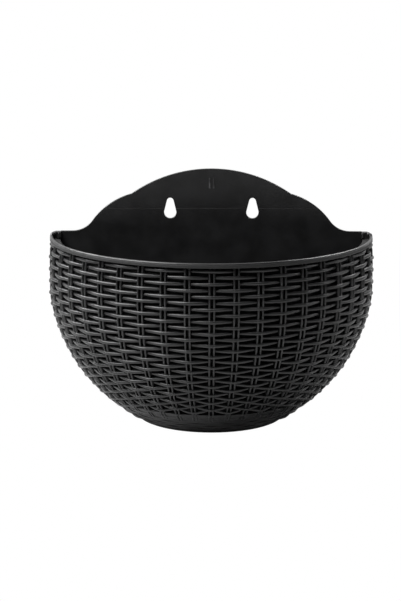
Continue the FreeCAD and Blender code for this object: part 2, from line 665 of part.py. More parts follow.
def build_soil_grid():
    body = new_body("soil_grid")
    radius = curve_reach(inner_curve, size.grid_height) - size.grid_gap
    reach = REACH % (INNER, "grid_height") + " - grid_gap"
    disc = new_sketch(body, "grid_outline", "XY", "grid_height")
    draw_half_disc(disc, (radius, reach), (size.grid_back, "grid_back"))
    pad(body, disc, "grid_thick")

    bore = new_sketch(body, "well_mouth", "XY", "grid_height")
    draw_circle(bore, well_side, (-well_front[0], "0 - " + well_front[1]),
                (size.well_top - size.well_wall, "well_top - well_wall"))
    mirror(body, [pocket(body, bore, "grid_thick")], False)

    cup = new_sketch(body, "wicking_well", "XZ", well_front[1])
    draw_well(cup)
    mirror(body, [revolve(body, cup, "Axis0")], True)

    slit = new_sketch(body, "well_slit", "XZ", well_front[1])
    base = floor_top[0] + size.seat_gap + 2 * size.well_wall
    base_formula = floor_top[1] + " + seat_gap + 2 * well_wall"
    draw_box(slit, (well_side[0] - size.slit_width / 2, well_side[1] + " - slit_width / 2"),
             (well_side[0] + size.slit_width / 2, well_side[1] + " + slit_width / 2"),
             (base, base_formula), (base + size.slit_tall, base_formula + " + slit_tall"))
    mirror(body, [pocket(body, slit, "2 * well_top", both_ways=True)], False)

    leg = new_sketch(body, "front_leg", "XY", floor_top[1] + " + seat_gap")
    draw_circle(leg, (0, "0"), (-leg_front[0], "0 - " + leg_front[1]), (size.leg_radius, "leg_radius"))
    pad(body, leg, "grid_height - %s - seat_gap" % floor_top[1])

    holes = new_sketch(body, "drain_holes", "XY", "grid_height")
    for column, row, x, y in grid_hole_places(radius):
        draw_circle(holes, (x, "%d * grid_pitch * %s" % (column, GRID_SKEW)),
                    (y, "0 - grid_back - grid_hole - grid_margin - %d * grid_pitch" % row),
                    (size.grid_hole, "grid_hole"))
    pocket(body, holes, "grid_thick")
    hang(body)
    return body


# ---- drain plug ------------------------------------------------------------------------

def draw_plug(sketch):
    """Half section of the plug: flange below the floor, stem through it."""
    under = size.foot_recess - size.plug_gap
    stem = size.drain_radius - size.plug_gap
    top = floor_top[0] + size.plug_rise
    corners = [(0, under - size.flange_thick, "0", "foot_recess - plug_gap - flange_thick"),
               (size.plug_flange, under - size.flange_thick, "plug_flange",
                "foot_recess - plug_gap - flange_thick"),
               (size.plug_flange, under, "plug_flange", "foot_recess - plug_gap"),
               (stem, under, "drain_radius - plug_gap", "foot_recess - plug_gap"),
               (stem, floor_top[0], "drain_radius - plug_gap", floor_top[1]),
               (stem - size.plug_taper, top, "drain_radius - plug_gap - plug_taper",
                floor_top[1] + " + plug_rise"),
               (0, top, "0", floor_top[1] + " + plug_rise")]
    edges = []
    for number, start in enumerate(corners):
        end = corners[(number + 1) % len(corners)]
        edges.append(add_line(sketch, start[:2], end[:2]))
        place(sketch, edges[-1], 1, start[2], start[3], start[0], start[1])
    for number, edge in enumerate(edges):
        join(sketch, ((edge, 2), (edges[(number + 1) % len(edges)], 1)))


def build_drain_plug():
    body = new_body("drain_plug")
    section = new_sketch(body, "plug_section", "XZ", drain_front[1])
    draw_plug(section)
    revolve(body, section, "V_Axis")

    grip = new_sketch(body, "plug_grip", "XY", "foot_recess - plug_gap - flange_thick - grip_tall")
    half = size.grip_length / 2
    draw_box(grip, (-half, "0 - grip_length / 2"), (half, "grip_length / 2"),
             (-drain_front[0] - size.grip_width / 2, "0 - %s - grip_width / 2" % drain_front[1]),
             (-drain_front[0] + size.grip_width / 2, "grip_width / 2 - " + drain_front[1]))
    pad(body, grip, "grip_tall")
    hang(body)
    return body


# ---- build, check and write ---------------------------------------------------------------

bodies = [build_woven_bowl(), build_back_plate(), build_soil_grid(), build_drain_plug()]
doc.recompute()

for item in doc.Objects:
    if "Invalid" in item.State or "Error" in item.State:
        raise RuntimeError("%s did not compute: %s" % (item.Name, item.State))
for body in bodies:
    shape = body.Shape
    if shape.isNull() or not shape.isValid() or len(shape.Solids) != 1:
        raise RuntimeError("%s is not one valid solid" % body.Label)

os.makedirs("parts", exist_ok=True)
for body in bodies:
    body.Shape.exportStep("parts/%s.step" % body.Label)
    box = body.Shape.BoundBox
    print("%-12s volume %9.1f mm3  x %7.2f..%7.2f  y %7.2f..%7.2f  z %7.2f..%7.2f" % (
        body.Label, body.Shape.Volume, box.XMin, box.XMax, box.YMin, box.YMax, box.ZMin, box.ZMax))
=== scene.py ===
import math
import random

import bmesh
import bpy
import numpy as np
from mathutils import Matrix, Vector
from mathutils.geometry import tessellate_polygon


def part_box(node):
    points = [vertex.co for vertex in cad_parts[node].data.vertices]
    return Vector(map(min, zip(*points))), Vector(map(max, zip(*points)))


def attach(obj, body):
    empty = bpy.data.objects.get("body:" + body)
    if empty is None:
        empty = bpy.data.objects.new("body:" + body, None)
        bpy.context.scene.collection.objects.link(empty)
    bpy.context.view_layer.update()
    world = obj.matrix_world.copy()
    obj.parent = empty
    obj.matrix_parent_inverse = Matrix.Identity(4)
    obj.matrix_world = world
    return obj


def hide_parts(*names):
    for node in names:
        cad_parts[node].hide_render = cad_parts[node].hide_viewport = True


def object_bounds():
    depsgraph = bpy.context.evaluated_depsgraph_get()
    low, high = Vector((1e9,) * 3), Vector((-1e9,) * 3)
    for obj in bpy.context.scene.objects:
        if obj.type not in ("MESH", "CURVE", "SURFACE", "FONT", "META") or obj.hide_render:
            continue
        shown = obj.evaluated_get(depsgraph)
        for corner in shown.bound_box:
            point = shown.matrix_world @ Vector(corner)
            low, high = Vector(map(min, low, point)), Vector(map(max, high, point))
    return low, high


# Half-round wall planter in black moulded imitation rattan.  X runs left to right, Y back
# into the wall, Z up, with the origin between the two wall screws.  Shapes are worked out in
# millimetres above the underside of the foot and then put in the frame by placed().

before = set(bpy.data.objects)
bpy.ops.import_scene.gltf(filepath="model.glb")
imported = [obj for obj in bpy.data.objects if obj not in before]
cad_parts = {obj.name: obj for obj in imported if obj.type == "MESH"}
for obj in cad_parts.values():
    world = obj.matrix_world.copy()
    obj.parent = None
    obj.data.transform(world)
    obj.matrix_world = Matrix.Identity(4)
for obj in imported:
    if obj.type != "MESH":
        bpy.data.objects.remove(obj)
cad_low, cad_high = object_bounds()
MM = 0.001

BASE = cad_low.z                                  # underside of the foot, in metres
BELLY = cad_high.x / MM                           # widest radius, over the weave
PLATE_TOP = (cad_high.z - BASE) / MM
SHOULDER = (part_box("woven_bowl")[1].z - BASE) / MM  # top of the posts, level with the plate's flats
PLATE_LOW = (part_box("back_plate")[0].z - BASE) / MM
PLATE_THICK = -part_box("back_plate")[0].y / MM

# the bowl's outer curve, over the crests of the weave
CURVE = 108.5
BELLY_HEIGHT = 97.6
CURVE_SIDE = BELLY - CURVE                        # its centre, aside from the bowl's axis
WALL_INNER = CURVE - 5.0
RECESS = CURVE - 4.5                              # the shell behind the weave

# weave
STAKES = 10                                       # on each side of the middle one
STAKE_STEP = math.radians(8.33)                   # between stakes at the belly
STAKE_SPREAD = math.radians(0.0155)               # more for each mm the bowl is narrower
ROWS = 34
ROW_PITCH = 3.975
FIRST_ROW = 116.75
BAR_HALF = 1.14                                   # half height of a bar over its stake
BAR_TAPER = 0.12                                  # share of it lost at the ends
BAR_DEEP = 1.1                                    # depth of a bar's rounded face
BAR_ROOT = 4.75                                   # where its straight sides end, under the crest
BAR_DIVE = 2.0                                    # how far the ends sink
BAR_BEND = 0.22                                   # how rounded the bend over the stake is
BAR_CLEAR = 2.2                                   # bar's end to the next stake's middle
BAR_SIZES = (0.96, 1.04)                          # bars differ this much in height,
BAR_DROPS = (-0.02, 0.12)                         # in depth
BAR_LEANS = (-0.12, 0.12)                         # and in slope
SIDE_PROUD = 1.7                                  # the weave beside the wall stands out further
SIDE_LIFT = 0.012                                 # and its rows rise a little towards it
RIB_HALF = 0.72
RIB_DEEP = 1.3
RIB_DROP = 0.7                                    # ribs below the crest of the bars
RIB_SWELL = 0.25                                  # and a little more where a bar crosses
RIB_APART = (0.47, 0.98)                          # half a pair's distance: fixed, and more by reach
RIB_START = -2.6                                  # ribs begin above the first row
RIB_PAST = 9.0                                    # and end this far down the foot band
BORDER_HALF = 1.1
BORDER_PAST = 2.0
BORDER_RISE = 0.4
WIDEST = BELLY - 0.03                             # nothing of the weave reaches further aside

# the same weave, moulded faintly over the foot band
FAINT_DEEP = 0.4
FAINT_ROOT = 2.5
FAINT_DIVE = 0.45
FAINT_FLOOR = 0.8
FAINT_FLUSH = 0.35                                # at the front it is flatter than at the sides
FAINT_RIB = 0.45
FAINT_DROP = 0.2
FAINT_SWELL = 0.05
FAINT_PROUD = 0.9
FAINT_OVER = 6.0                                  # length over which the weave turns faint

# painted shade: darker places of the moulding, where shade falls
SHADE_FROM = 2.4                                   # depth under the crest where the painted shade begins
SHADE_OVER = 1.8                                   # depth over which it becomes full
LIT_ASIDE = 0.45                                  # share of the painted shade lost at the far sides, which are lit
FOOT_SHADOW = 5.5                                  # height of the foot's lower edge, darker by painted shadow
BAND_SHADE = 0.6                                   # painted shade on the smooth band under the bead
FAINT_SHADE = (0.5, 0.3, 0.9)                      # painted shade on the foot band: where it begins, over what, at most

# rim
RIM_HEIGHT = 122.0
BEAD = 1.0
CORNER_BEAD = 1.4                                 # it thickens where it turns up
CORNER_START = 6.5                                # distance from the wall where it does so
CORNER_END = 4.7
BEAD_REACH = BELLY - 1.4
BEAD_LEVEL = RIM_HEIGHT - BEAD
BAND_REACH = BELLY - 0.35
BAND_TOP = 120.75
BAND_LOW = 118.8

# foot and floor
FOOT_RADIUS = 47.5
FOOT_TOP = 17.4
FOOT_CURVE = 150.0
FOOT_RIM = 5.0
FLOOR_LOW = 3.0
FLOOR_TOP = 5.5
SILL = 40.0
DRAIN_RADIUS = 5.0

# channel for the back plate, end posts and the flange at the wall
CHANNEL_WIDE = 2.6
CHANNEL_DEEP = 1.8
CHANNEL_CLEAR = 0.25                              # round the plate's edge and in front of it
POST_SIDE = BELLY - 7.45
POST_DEEP = 4.2
POST_ROUND = 3.8
FLANGE_DEEP = 1.6

# back plate
CREASE = 139.1                                    # top of the plate's slightly thicker lower part
CREASE_STEP = 0.14
LOWER_LAP = 0.7                                   # how far the thicker part reaches into the plate
STREAKS = ((-1.05, 151.4, 159.8), (1.65, 151.4, 159.9))  # pale streaks: middle, lower and upper end
STREAK_HALF = 0.65
STREAK_RISE = 0.4
ARCH_RADIUS = 90.0
NOTCH_SIDE = BELLY - 53.7
LOBE_RADIUS = 46.6
LOBE_LEAN = math.radians(15.2)
FLAT_END = BELLY - 14.9
SCREW_SIDE = 26.75
SCREW_HEIGHT = -BASE / MM
KEYHOLE_DROP = 7.8                                # centre of the wide end below the screw
HEAD_RADIUS = 3.98
SHANK_RADIUS = 2.2
SHANK_DROP = 0.45                                 # centre of the narrow end below the screw


# ---- mesh helpers ----------------------------------------------------------------------

class Shape:
    """Points and faces of one piece, gathered from several closed shells."""

    def __init__(self):
        self.points = []
        self.faces = []

    def add(self, points, faces):
        start = len(self.points)
        self.points.extend(points)
        self.faces.extend([[start + i for i in face] for face in faces])

    def skin(self, rings):
        """Close a row of rings, each a closed loop of the same number of points."""
        rings = np.asarray(rings)
        count, around = rings.shape[:2]
        faces = []
        for i in range(count - 1):
            for j in range(around):
                k = (j + 1) % around
                faces.append((i * around + j, i * around + k, (i + 1) * around + k, (i + 1) * around + j))
        faces.append(tuple(range(around)))
        faces.append(tuple((count - 1) * around + j for j in range(around)))
        self.add(rings.reshape(-1, 3), faces)

    def slab(self, outlines, low, high, edge, place):
        """A plate between two levels with rounded edges; every outline has its material on the left."""
        sections = [(-edge - 0.5, low), (-edge, low)]
        for part in range(1, 4):
            turn = math.pi / 2 * part / 3
            sections.append((-edge + edge * math.sin(turn), low + edge - edge * math.cos(turn)))
        sections += [(inset, low + high - level) for inset, level in reversed(sections)]
        rings = []
        for outline in outlines:
            outline = np.asarray(outline, float)
            across = outward(outline)
            rings.append([place(outline + across * inset, level) for inset, level in sections])
        start = 0
        tops = ([], [])
        points, faces = [], []
        for ring_set in rings:
            around = len(ring_set[0])
            for i in range(len(sections) - 1):
                for j in range(around):
                    k = (j + 1) % around
                    faces.append((start + i * around + j, start + i * around + k,
                                  start + (i + 1) * around + k, start + (i + 1) * around + j))
            tops[0].extend(range(start, start + around))
            last = start + (len(sections) - 1) * around
            tops[1].extend(range(last, last + around))
            points.extend(np.concatenate(ring_set))
            start += len(sections) * around
        flats = [np.asarray(outline, float) for outline in outlines]
        loops = [[Vector((*point, 0)) for point in flat + outward(flat) * sections[0][0]] for flat in flats]
        for triangle in tessellate_polygon(loops):
            for top in tops:
                faces.append([top[i] for i in triangle])
        self.add(points, faces)

    def piece(self, name, material, body, *nodes, sharp=38.0, painted_shade=None):
        """Make the mesh object, put it in the frame and hand it to its body."""
        mesh = bpy.data.meshes.new(name)
        mesh.from_pydata([placed(p) for p in self.points], [], self.faces)
        work = bmesh.new()
        work.from_mesh(mesh)
        bmesh.ops.recalc_face_normals(work, faces=work.faces)
        work.to_mesh(mesh)
        work.free()
        mesh.shade_smooth()
        mesh.set_sharp_from_angle(angle=math.radians(sharp))
        mesh.materials.append(material)
        # painted shade of each point, kept as a mesh attribute for the material
        depth = mesh.attributes.new("painted_shade", "FLOAT", "POINT")
        depth.data.foreach_set("value", [painted_shade(point) if painted_shade else 0.0 for point in self.points])
        made = bpy.data.objects.new(name, mesh)
        bpy.context.scene.collection.objects.link(made)
        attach(made, body)
        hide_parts(*nodes)
        return made


def placed(point):
    """From millimetres above the foot to metres in the frame."""
    return (point[0] * MM, point[1] * MM, point[2] * MM + BASE)


def upright(plane, depth):
    """Plane coordinates (across, up) and a depth in front of the wall."""
    return np.column_stack([plane[:, 0], np.full(len(plane), -depth), plane[:, 1]])


def level(plane, height):
    """Plane coordinates (across, back) and a height."""
    return np.column_stack([plane[:, 0], plane[:, 1], np.full(len(plane), height)])


def outward(outline):
    """Mitred unit offsets, to the right of a closed outline's direction."""
    ahead = np.roll(outline, -1, axis=0) - outline
    ahead /= np.linalg.norm(ahead, axis=1)[:, None]
    behind = np.roll(ahead, 1, axis=0)
    both = ahead + behind
    return np.column_stack([both[:, 1], -both[:, 0]]) / (1 + (ahead * behind).sum(axis=1))[:, None]


def arc(centre, radius, first, last, count):
    """Points on an arc, angles in degrees, both ends included."""
    turns = np.radians(np.linspace(first, last, count))
    return [(centre[0] + radius * math.cos(t), centre[1] + radius * math.sin(t)) for t in turns]


def arc_between(centre, start, end, count):
    """Points on the shorter arc round a centre from start to end."""
    radius = math.dist(centre, start)
    first = math.degrees(math.atan2(start[1] - centre[1], start[0] - centre[0]))
    last = math.degrees(math.atan2(end[1] - centre[1], end[0] - centre[0]))
    last += 360 * round((first - last) / 360)
    return arc(centre, radius, first, last, count)


def curve_reach(radius, height):
    """Distance from the bowl's axis to a curve of this radius at this height."""
    return CURVE_SIDE + math.sqrt(radius ** 2 - (height - BELLY_HEIGHT) ** 2)


def curve_side(radius, low, high, count):
    """Profile points on the bowl's curve between two heights."""
    first = math.degrees(math.asin((low - BELLY_HEIGHT) / radius))
    last = math.degrees(math.asin((high - BELLY_HEIGHT) / radius))
    return arc((CURVE_SIDE, BELLY_HEIGHT), radius, first, last, count)


def turned(profile, turns):
    """Rings of a closed profile (reach, height) turned round the upright axis; 0 faces front."""
    profile = np.asarray(profile)
    return [np.column_stack([profile[:, 0] * math.sin(t), -profile[:, 0] * math.cos(t), profile[:, 1]])
            for t in turns]


def oval(count, power=2.0):
    """Unit cross-section: an ellipse, or with a higher power a squarer one."""
    turns = np.linspace(0, 2 * math.pi, count, endpoint=False)
    c, s = np.cos(turns), np.sin(turns)
    return np.column_stack([np.sign(c) * np.abs(c) ** (2 / power), np.sign(s) * np.abs(s) ** (2 / power)])


def raised(count):
    """Unit cross-section of a moulded bar: a round face outside and straight sides inside."""
    face, sides = oval(count, 2.2), oval(count, 7.0)
    return np.where(face[:, :1] > 1e-6, face, sides)


# ---- woven bowl ------------------------------------------------------------------------

SECTION = oval(14, 2.3)                           # of ribs, borders and streaks
BAR_SECTION = raised(18)
ROW_START = math.asin((FIRST_ROW - BELLY_HEIGHT) / CURVE)
BAND_RUN = CURVE * (ROW_START - math.asin((FOOT_TOP - BELLY_HEIGHT) / CURVE))


def foot_arc():
    """Centre of the arc of the foot band, and its angles at the top and at the foot."""
    low, high = (FOOT_RADIUS, 0.0), (curve_reach(CURVE, FOOT_TOP), FOOT_TOP)
    chord = math.dist(low, high)
    back = math.sqrt(FOOT_CURVE ** 2 - (chord / 2) ** 2)
    centre = ((low[0] + high[0]) / 2 - back * (high[1] - low[1]) / chord,
              (low[1] + high[1]) / 2 - back * (low[0] - high[0]) / chord)
    return centre, *(math.atan2(end[1] - centre[1], end[0] - centre[0]) for end in (high, low))


def crest(run):
    """Reach, height and tilt of the bowl's outer curve, this far below the first row."""
    if run < BAND_RUN:
        turn = ROW_START - run / CURVE
        return CURVE_SIDE + CURVE * math.cos(turn), BELLY_HEIGHT + CURVE * math.sin(turn), turn
    centre, top, _ = foot_arc()
    turn = top - (run - BAND_RUN) / FOOT_CURVE
    return centre[0] + FOOT_CURVE * math.cos(turn), centre[1] + FOOT_CURVE * math.sin(turn), turn


def painted_shade_share(point):
    """Painted shade of a point: by its depth in the weave, from 0 on the bars to 1 on the shell, and under
    the rim.
    """
    x, y, height = point
    reach = math.hypot(x, y)
    # painted shade on the band under the bead and on the ledge inside the rim
    if height > BAND_LOW - 1.5:
        on_band = height < BAND_TOP + 0.1 and reach > BAND_REACH - 0.6
        inside = WALL_INNER + CURVE_SIDE - 4 < reach < BEAD_REACH - BEAD + 0.2
        on_ledge = inside and height < BEAD_LEVEL + 0.05
        return BAND_SHADE if on_band else 1.0 if on_ledge else 0.0
    depth = CURVE - math.hypot(reach - CURVE_SIDE, height - BELLY_HEIGHT)
    if depth > CURVE - RECESS + 0.2:
        return 0.0
    # painted shade on the foot band, darker towards the sides, and a painted shadow along the foot's lower
    # edge
    if height < FOOT_TOP:
        start, over, most = FAINT_SHADE
        depth = FOOT_CURVE - math.dist(foot_arc()[0], (reach, height))
        beside = min(max((depth - start) / over, 0.0), most) * (x / max(reach, 1.0)) ** 2
        under = min(max(1 - height / FOOT_SHADOW, 0.0), 1.0)
        return max(beside, under)
    # painted shade in the weave's recesses, less at the far sides, which are lit
    lit_from_side = 1 - LIT_ASIDE * (x / reach) ** 2
    return min(max((depth - SHADE_FROM) / SHADE_OVER, 0.0), 1.0) * lit_from_side


def stake_azimuth(stake, reach, aside=0.0):
    """Azimuth of a stake, or of a place between or beside them, which stays in front of the wall."""
    limit = math.pi / 2 - 1.0 / reach
    azimuth = stake * (STAKE_STEP + STAKE_SPREAD * (BELLY - reach)) + aside / reach
    return min(max(azimuth, -limit), limit)


def fade(full, faint, run):
    """A depth of the weave, which turns faint over the foot band."""
    share = min(max((run - BAND_RUN) / FAINT_OVER + 0.3, 0.0), 1.0)
    return full + (faint - full) * share


def side_proud(run, azimuth):
    """How far the weave stands out beside the wall, without getting wider than the belly."""
    room = WIDEST / max(abs(math.sin(azimuth)), 0.5) - crest(run)[0]
    return min(fade(SIDE_PROUD, FAINT_PROUD, run) * math.sin(azimuth) ** 8, room)


def on_bowl(run, azimuth, sunk):
    """Point under the outer curve, with the directions out of, along and up the surface."""
    run *= 1 - SIDE_LIFT * math.sin(azimuth) ** 2
    reach, height, turn = crest(run)
    sunk -= side_proud(run, azimuth)
    reach, height = reach - sunk * math.cos(turn), height - sunk * math.sin(turn)
    side, front = math.sin(azimuth), -math.cos(azimuth)
    point = np.array([reach * side, reach * front, height])
    out = np.array([math.cos(turn) * side, math.cos(turn) * front, math.sin(turn)])
    along = np.array([-front, side, 0.0])
    rise = np.array([-math.sin(turn) * side, -math.sin(turn) * front, math.cos(turn)])
    return point, out, along, rise


def add_bars(shape, chance):
    """Short bars, each over one stake, with the rows over even and odd stakes in turn."""
    for row in range(ROWS):
        run = row * ROW_PITCH
        reach = crest(run)[0]
        half = 1 - BAR_CLEAR / reach / STAKE_STEP
        for stake in range(-STAKES, STAKES + 1):
            if (stake + row) % 2 == 0:
                azimuths = [stake_azimuth(stake + half * end, reach) for end in (-1, 0, 1)]
                add_bar(shape, run, azimuths, chance)


def add_bar(shape, run, azimuths, chance):
    """One bar from its left end over its stake to its right end, no two quite alike."""
    size, drop, lean = (chance.uniform(*limits) for limits in (BAR_SIZES, BAR_DROPS, BAR_LEANS))
    dive, thick = fade(BAR_DIVE, FAINT_DIVE, run), fade(BAR_DEEP, FAINT_DEEP, run)
    flat = math.hypot(1, BAR_BEND) - BAR_BEND
    drop += fade(0.0, FAINT_FLUSH, run) * math.cos(azimuths[1]) ** 2
    root = fade(BAR_ROOT, FAINT_ROOT, run) - thick - drop
    rings = []
    for share in np.linspace(-1, 1, 21):
        sink = dive * (math.hypot(share, BAR_BEND) - BAR_BEND) / flat
        half = BAR_HALF * size * (1 - BAR_TAPER * share ** 2)
        azimuth = np.interp(share, (-1, 0, 1), azimuths)
        point, out, _, rise = on_bowl(run + lean * share, azimuth, thick + drop + sink)
        depth = np.where(BAR_SECTION[:, :1] > 0, thick, max(root - sink, 0.3)) * BAR_SECTION[:, :1]
        rings.append(point + depth * out + BAR_SECTION[:, 1:] * rise * half)
    shape.skin(with_round_ends(rings, 0.4))


def with_round_ends(rings, length):
    """Add two shrinking rings at each end."""
    for end, beside in ((0, 1), (-1, -2)):
        centre = rings[end].mean(axis=0)
        way = centre - rings[beside].mean(axis=0)
        way /= np.linalg.norm(way)
        caps = [centre + (rings[end] - centre) * scale + way * length * reach
                for scale, reach in ((0.8, 0.6), (0.4, 1.0))]
        rings = caps[::-1] + rings if end == 0 else rings + caps
    return rings


def add_ribs(shape):
    """Two round ribs for each stake, from under the rim down into the foot band."""
    for stake in range(-STAKES, STAKES + 1):
        for side in (-1, 1):
            rings = []
            for run in np.arange(RIB_START, BAND_RUN + RIB_PAST, ROW_PITCH / 4):
                covered = 0.5 + 0.5 * math.cos(math.pi * (run / ROW_PITCH + stake))
                deep = fade(RIB_DEEP, FAINT_RIB, run)
                sunk = fade(RIB_DROP, FAINT_DROP, run) + deep + fade(RIB_SWELL, FAINT_SWELL, run) * covered
                reach = crest(run)[0]
                aside = side * (RIB_APART[0] + RIB_APART[1] * reach / BELLY)
                point, out, along, _ = on_bowl(run, stake_azimuth(stake, reach, aside), sunk)
                rings.append(point + SECTION[:, :1] * out * deep + SECTION[:, 1:] * along * RIB_HALF)
            shape.skin(rings)


def add_borders(shape):
    """Plain edging where the weave meets the wall."""
    for side in (-1, 1):
        rings = []
        for run in np.linspace(RIB_START, BAND_RUN + BORDER_PAST, 60):
            reach = crest(run)[0]
            azimuth = side * math.acos(BORDER_HALF / reach)
            sunk = RIB_DEEP + side_proud(run, azimuth) - min(BORDER_RISE, WIDEST - reach)
            point, out, along, _ = on_bowl(run, azimuth, sunk)
            rings.append(point + SECTION[:, :1] * out * RIB_DEEP + SECTION[:, 1:] * along * BORDER_HALF)
        shape.skin(rings)


def bowl_profile():
    """Closed half section of the wall: foot, faint band, recess, rim and inside."""
    centre, top_turn, low_turn = foot_arc()
    band = arc(centre, FOOT_CURVE - FAINT_FLOOR, math.degrees(low_turn), math.degrees(top_turn), 14)
    top = band[-1]
    rim_inner = FOOT_RADIUS - FOOT_RIM
    profile = [(rim_inner, 0.6), (rim_inner + 0.6, 0.0), (FOOT_RADIUS - 2.2, 0.0)]
    profile += [(FOOT_RADIUS - 1.0, 0.25), (FOOT_RADIUS + 0.2, 0.8), (FOOT_RADIUS + 1.4, 1.7)] + band[2:-1]
    profile += [(top[0] - 0.3, top[1] - 0.2), (top[0] - 1.0, top[1] + 0.5), (top[0] - 2.4, top[1] + 1.6)]
    profile += curve_side(RECESS, FOOT_TOP + 2.6, BAND_LOW - 0.3, 60)
    profile += [(BAND_REACH - 2.4, BAND_LOW), (BAND_REACH - 0.5, BAND_LOW + 0.05)]
    profile += arc((BAND_REACH - 0.25, BAND_LOW + 0.3), 0.25, -60, 0, 4)
    profile += arc((BAND_REACH - 0.2, BAND_TOP - 0.2), 0.2, 0, 80, 4)
    profile += [(BAND_REACH - 0.45, BAND_TOP + 0.05), (BEAD_REACH, BEAD_LEVEL + 0.3)]
    profile += [(BEAD_REACH - BEAD + 0.1, BEAD_LEVEL), (BEAD_REACH - BEAD - 0.3, BAND_LOW + 0.7)]
    profile += reversed(curve_side(WALL_INNER, FLOOR_TOP, BAND_LOW, 50))
    profile += [(rim_inner - 4, FLOOR_TOP), (rim_inner - 4, FLOOR_LOW), (rim_inner, FLOOR_LOW)]
    return profile


def bead_path():
    """Middle line and radius of the rim's bead: round the front, then up over both corners."""
    start = math.acos(CORNER_START / BEAD_REACH)
    front = [(BEAD_REACH * math.sin(t), -BEAD_REACH * math.cos(t), BEAD_LEVEL, BEAD)
             for t in np.linspace(-start, start, 150)]
    corner = []
    for share in np.linspace(0, 1, 14)[1:]:
        side = front[-1][0] - 0.3 * share - 1.4 * share ** 3
        away = CORNER_END + (CORNER_START - CORNER_END) * (1 - share) ** 1.3
        rise = (SHOULDER - CORNER_BEAD - BEAD_LEVEL) * math.sin(math.pi / 2 * share) ** 1.5
        corner.append((side, -away, BEAD_LEVEL + rise, BEAD + (CORNER_BEAD - BEAD) * share))
    mirrored = [(-x, y, z, radius) for x, y, z, radius in reversed(corner)]
    return np.array(mirrored + front + corner)


def tube(shape, path, around=16):
    """A round tube along points with radii, with rings that turn as little as they can."""
    points, radii = path[:, :3], path[:, 3]
    ways = np.gradient(points, axis=0)
    ways /= np.linalg.norm(ways, axis=1)[:, None]
    across = np.cross(ways[0], (0, 1, 0))
    section = oval(around)
    rings = []
    for point, way, radius in zip(points, ways, radii):
        across = across - way * across.dot(way)
        across /= np.linalg.norm(across)
        beside = np.cross(way, across)
        rings.append(point + radius * (section[:, :1] * across + section[:, 1:] * beside))
    shape.skin(with_round_ends(rings, radii[-1] * 0.6))


def mirrored_outline(right_half):
    """Close an outline from its right half, given upward from the middle of its lower edge."""
    left_half = [(-x, y) for x, y in reversed(right_half) if abs(x) > 1e-6]
    return right_half + left_half


def add_side_slab(shape, side, outline, low, high, edge):
    """An upright slab with this outline on the right, or mirrored on the left."""
    outline = [(side * x, y) for x, y in outline]
    shape.slab([outline if side > 0 else outline[::-1]], low, high, edge, upright)


def add_channel(shape, side):
    """Upright rib in front of one edge of the back plate."""
    neck = curve_reach(WALL_INNER + 0.4, BAND_LOW)
    rib = [(neck - 0.7, SHOULDER - 0.6), (neck - 0.8, BAND_LOW - 3), (neck - 1.6, BAND_LOW - 6)]
    rib += curve_side(WALL_INNER - CHANNEL_WIDE, FLOOR_TOP - 0.5, BAND_LOW - 9, 40)[::-1]
    rib += curve_side(WALL_INNER + 0.4, FLOOR_TOP - 0.5, BAND_LOW, 40)
    rib += [(neck + 1.3, BAND_LOW + 1.0), (neck + 1.3, SHOULDER - 0.6)]
    front = PLATE_THICK + CHANNEL_CLEAR
    add_side_slab(shape, side, rib, front, front + CHANNEL_DEEP, 0.55)


def add_flange(shape, side):
    """Flange which closes the weave against the wall."""
    flange = curve_side(CURVE - 0.6, FOOT_TOP, BAND_LOW + 0.5, 50)
    flange += curve_side(WALL_INNER + 0.2, FOOT_TOP, BAND_LOW + 0.5, 50)[::-1]
    add_side_slab(shape, side, flange, 0.0, FLANGE_DEEP, 0.2)


def add_post(shape, side):
    """End post beside the plate, rounded where the rim's bead turns up."""
    post = [(POST_SIDE, BAND_LOW), (BAND_REACH - 0.4, BAND_LOW)]
    post += arc((BAND_REACH - 0.4 - POST_ROUND, SHOULDER - 0.2 - POST_ROUND), POST_ROUND, 0, 90, 8)
    post += [(POST_SIDE, SHOULDER - 0.2)]
    add_side_slab(shape, side, post, 0.0, POST_DEEP, 0.4)


def add_floor(shape):
    """Floor with the hole for the drain plug."""
    floor = arc((0, 0), FOOT_RADIUS - FOOT_RIM - 1, 180, 360, 60)
    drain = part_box("drain_plug")
    drain_front = -(drain[0].y + drain[1].y) / 2 / MM
    hole = arc((0, -drain_front), DRAIN_RADIUS, 360, 0, 33)[:-1]
    shape.slab([floor, hole], FLOOR_LOW, FLOOR_TOP, 0.3, level)


def add_sill(shape):
    """Low back wall that carries the plate."""
    sill = [(0.0, 0.4), (FOOT_RADIUS - 1, 0.4), (curve_reach(RECESS, FOOT_TOP), FOOT_TOP)]
    sill += curve_side(RECESS, FOOT_TOP, SILL, 16)[1:]
    shape.slab([mirrored_outline(sill + [(0.0, SILL)])], 0.0, PLATE_THICK, 0.3, upright)


def build_bowl(material):
    """The turned wall with everything that is moulded on it."""
    shape = Shape()
    quarter = math.pi / 2
    shape.skin(turned(bowl_profile(), np.linspace(-quarter, quarter, 181)))
    add_floor(shape)
    add_bars(shape, random.Random(7))
    add_ribs(shape)
    add_borders(shape)
    tube(shape, bead_path())
    for side in (-1, 1):
        add_post(shape, side)
        add_channel(shape, side)
        add_flange(shape, side)
    add_sill(shape)
    return shape.piece("woven_bowl_moulding", material, "planter", "woven_bowl", painted_shade=painted_shade_share)


# ---- back plate ------------------------------------------------------------------------

